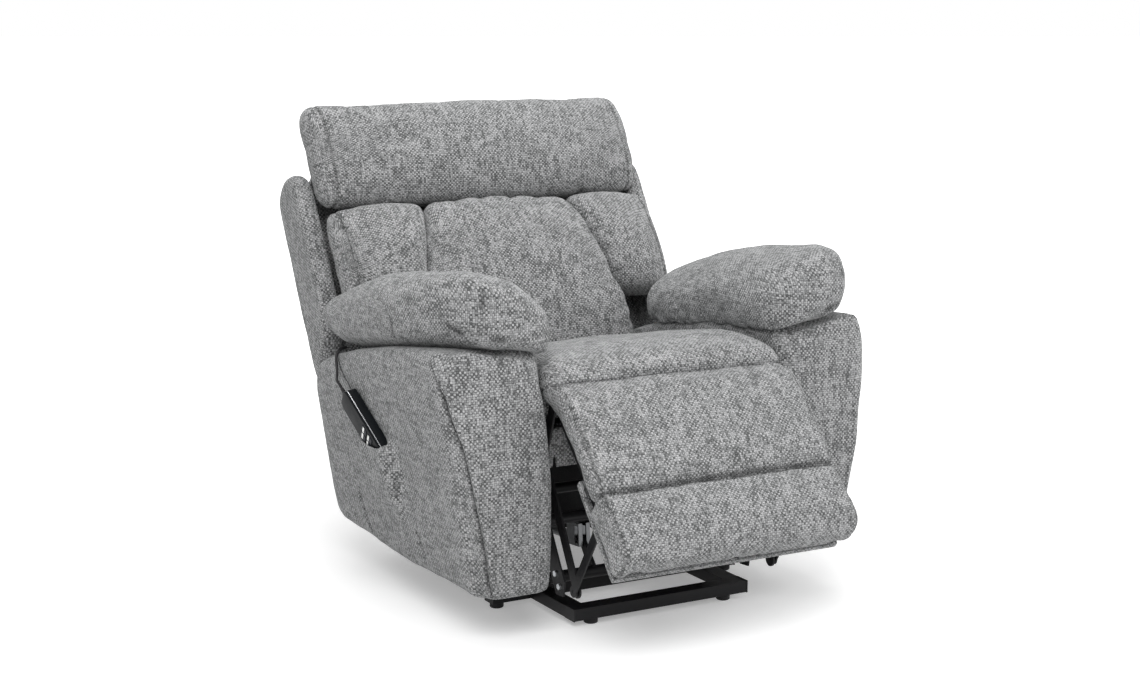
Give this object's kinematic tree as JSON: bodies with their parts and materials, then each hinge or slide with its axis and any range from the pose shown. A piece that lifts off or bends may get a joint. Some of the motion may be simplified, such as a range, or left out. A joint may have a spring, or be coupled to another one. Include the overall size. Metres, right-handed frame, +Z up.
{
  "type": "lift recliner chair",
  "caption": "Powered lift recliner armchair with padded arms, split back pads, a headrest roll, a folding footrest, a steel lift base and a cabled handset in a side pocket.",
  "frame": {"origin": "on the floor, in the chair's plane of symmetry (the handset and its pocket on one arm are left out of that), at the middle of its overall length as it stands with the footrest part open", "axes": "+Z up, +Y towards the back of the chair, +X towards the sitter's left-hand arm as seen from the front on the viewer's right, -Y the way the chair faces"},
  "size_m": [1.0476, 1.309, 1.0244],
  "materials": {
    "chenille": "coarse mottled grey chenille weave with light and dark flecks",
    "black_frame": "satin black powder coat",
    "black_plastic": "matt black moulded",
    "zinc_steel": "bright zinc plate",
    "rod_steel": "polished rod",
    "timber": "unfinished plywood and softwood",
    "webbing": "dense woven elastic webbing",
    "handset_plastic": "fine matt grain",
    "silver_trim": "silver lacquer",
    "key_plastic": "soft matt key top",
    "cord_sheath": "smooth black sheath"
  },
  "bodies": {
    "base": {"base_end_tubes": "black_frame", "base_side_tubes": "black_frame", "base_outrigger": "black_frame", "tube_end_caps": "black_plastic", "floor_feet": "black_plastic", "base_pivot_lugs": "black_frame", "base_pivot_bolts": "zinc_steel"},
    "rear_lift_link": {"rear_lift_links": "black_frame"},
    "front_lift_link": {"front_lift_links": "black_frame", "front_link_shaft": "black_frame"},
    "lift_motor_body": {"lift_motor": "black_plastic"},
    "lift_rod_body": {"lift_rod": "rod_steel"},
    "chair": {"mechanism_side_plates": "black_frame", "mechanism_cross_tubes": "black_frame", "chair_pivot_lugs": "black_frame", "chair_pivot_bolts": "zinc_steel", "seat_side_rails": "timber", "seat_cross_rails": "timber", "seat_webbing": "webbing", "seat_cushion": "chenille", "front_valance": "chenille", "arm_frames": "timber", "arm_decks": "timber", "arm_inner_panels": "chenille", "arm_side_panel_left": "chenille", "arm_side_panel_right": "chenille", "arm_front_panels": "chenille", "arm_pillow_left": "chenille", "arm_pillow_right": "chenille", "arm_bolts": "zinc_steel", "control_box": "black_plastic", "lower_rear_panel": "chenille", "footrest_hinge_lugs": "black_frame", "recline_motor": "black_plastic", "handset_cord": "cord_sheath", "handset_tether": "cord_sheath"},
    "back": {"back_frame": "timber", "back_hinge_brackets": "black_frame", "back_rear_panel": "chenille", "back_side_panels": "chenille", "back_cushion": "chenille", "back_wing_left": "chenille", "back_wing_right": "chenille", "headrest_roll": "chenille"},
    "footrest": {"footrest_board": "timber", "lower_leg_pad": "chenille", "upper_leg_pad": "chenille", "footrest_hinge_arms": "black_frame", "footrest_brackets": "black_frame"},
    "footrest_link": {"footrest_long_links": "black_frame", "footrest_drive_shaft": "black_frame"},
    "footrest_coupler": {"footrest_couplers": "black_frame"},
    "recline_rod_body": {"recline_rod": "rod_steel"},
    "handset": {"handset_body": "handset_plastic", "handset_trim": "silver_trim", "strain_relief": "black_plastic"},
    "key_up": {"button_up": "key_plastic"},
    "key_down": {"button_down": "key_plastic"},
    "key_lift": {"button_lift": "key_plastic"},
    "key_lower": {"button_lower": "key_plastic"}
  },
  "joints": [
    {"name": "lift_hinge", "type": "hinge", "parent": "base", "child": "rear_lift_link", "pos_m": [0, -0.10512, 0.062], "axis": [1, 0, 0], "range_deg": [0, 70]},
    {"name": "chair_hinge", "type": "hinge", "parent": "rear_lift_link", "child": "chair", "pos_m": [0, 0.18388, 0.082], "axis": [1, 0, 0], "range_deg": [-45.01, 0]},
    {"name": "front_lift_hinge", "type": "hinge", "parent": "base", "child": "front_lift_link", "pos_m": [0, -0.17512, 0.056], "axis": [1, 0, 0], "range_deg": [0, 80.13]},
    {"name": "lift_motor_hinge", "type": "hinge", "parent": "base", "child": "lift_motor_body", "pos_m": [-0.07, 0.30988, 0.08], "axis": [1, 0, 0], "range_deg": [0, 0.937]},
    {"name": "lift_rod_slide", "type": "slide", "parent": "lift_motor_body", "child": "lift_rod_body", "axis": [0, -0.9964, 0.0849], "range_m": [0, 0.1037]},
    {"name": "footrest_hinge", "type": "hinge", "parent": "chair", "child": "footrest", "pos_m": [0, -0.34512, 0.49], "axis": [-1, 0, 0], "range_deg": [-37.5, 45]},
    {"name": "footrest_link_hinge", "type": "hinge", "parent": "chair", "child": "footrest_link", "pos_m": [0, -0.25512, 0.35], "axis": [-1, 0, 0], "range_deg": [-37.51, 45.01]},
    {"name": "footrest_coupler_hinge", "type": "hinge", "parent": "footrest_link", "child": "footrest_coupler", "pos_m": [0, -0.39712, 0.096], "axis": [-1, 0, 0], "range_deg": [-45.01, 37.51]},
    {"name": "recline_rod_slide", "type": "slide", "parent": "chair", "child": "recline_rod_body", "axis": [0, -1, 0.0003], "range_m": [-0.0339, 0.0406]},
    {"name": "back_hinge", "type": "hinge", "parent": "chair", "child": "back", "pos_m": [0, 0.27488, 0.355], "axis": [-1, 0, 0], "range_deg": [0, 32]},
    {"name": "handset_slide", "type": "slide", "parent": "chair", "child": "handset", "axis": [-0.1308, 0.7771, 0.6156], "range_m": [0, 0.07], "deforming": ["handset_cord", "handset_tether"]},
    {"name": "key_up_press", "type": "slide", "parent": "handset", "child": "key_up", "axis": [0.9781, 0, 0.2079], "range_m": [0, 0.0012], "stiffness_N_per_m": 400},
    {"name": "key_down_press", "type": "slide", "parent": "handset", "child": "key_down", "axis": [0.9781, 0, 0.2079], "range_m": [0, 0.0012], "stiffness_N_per_m": 400},
    {"name": "key_lift_press", "type": "slide", "parent": "handset", "child": "key_lift", "axis": [0.9781, 0, 0.2079], "range_m": [0, 0.0012], "stiffness_N_per_m": 400},
    {"name": "key_lower_press", "type": "slide", "parent": "handset", "child": "key_lower", "axis": [0.9781, 0, 0.2079], "range_m": [0, 0.0012], "stiffness_N_per_m": 400}
  ],
  "couplings": [
    {"joint": "chair_hinge", "follows": "lift_hinge", "ratio": -0.64286},
    {"joint": "front_lift_hinge", "follows": "lift_hinge", "ratio": 1.144},
    {"joint": "lift_motor_hinge", "follows": "lift_hinge", "ratio": 0.0131},
    {"joint": "lift_rod_slide", "follows": "lift_hinge", "m_per_rad": 0.08475},
    {"joint": "footrest_link_hinge", "follows": "footrest_hinge", "ratio": 1},
    {"joint": "footrest_coupler_hinge", "follows": "footrest_hinge", "ratio": -1},
    {"joint": "recline_rod_slide", "follows": "footrest_hinge", "m_per_rad": 0.0515}
  ]
}
